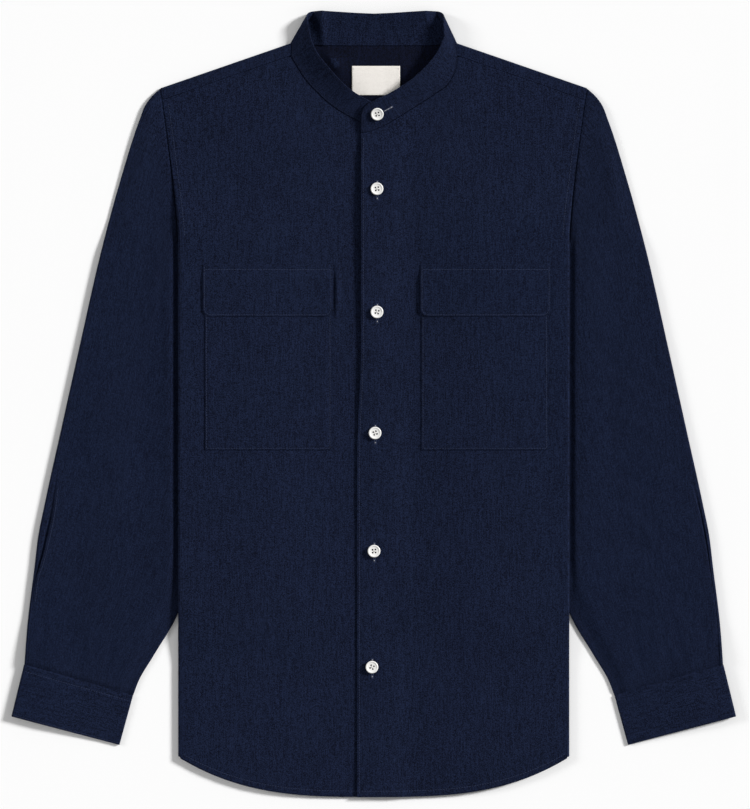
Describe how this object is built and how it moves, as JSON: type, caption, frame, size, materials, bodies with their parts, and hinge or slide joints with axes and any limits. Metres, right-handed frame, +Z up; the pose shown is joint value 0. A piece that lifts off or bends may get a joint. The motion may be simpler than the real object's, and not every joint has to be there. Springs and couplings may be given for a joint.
{
  "type": "mandarin collar shirt",
  "caption": "Long-sleeved mandarin collar shirt laid flat and buttoned, with flapped chest pockets, a curved hem and its sides tucked under.",
  "frame": {"origin": "on the table under the middle of the laid shirt's box", "axes": "+Y from the hem to the collar, +X to the viewer's right as it lies front up, +Z up off the table"},
  "size_m": [0.7322, 0.7941, 0.0137],
  "materials": {
    "shirting": "matte slubbed crepe weave, dark navy",
    "button": "satin white, four holes",
    "label": "off-white woven satin, bare"
  },
  "bodies": {
    "root": {"front_right": "shirting", "front_left": "shirting", "back": "shirting", "yoke": "shirting", "collar_band": "shirting", "sleeve_right": "shirting", "sleeve_left": "shirting", "cuff_right": "shirting", "cuff_left": "shirting", "pocket_right": "shirting", "pocket_left": "shirting", "pocket_flap_right": "shirting", "pocket_flap_left": "shirting", "button_collar": "button", "button_front_1": "button", "button_front_2": "button", "button_front_3": "button", "button_front_4": "button", "button_front_5": "button", "button_cuff_right": "button", "button_cuff_left": "button", "neck_label": "label"}
  },
  "joints": []
}
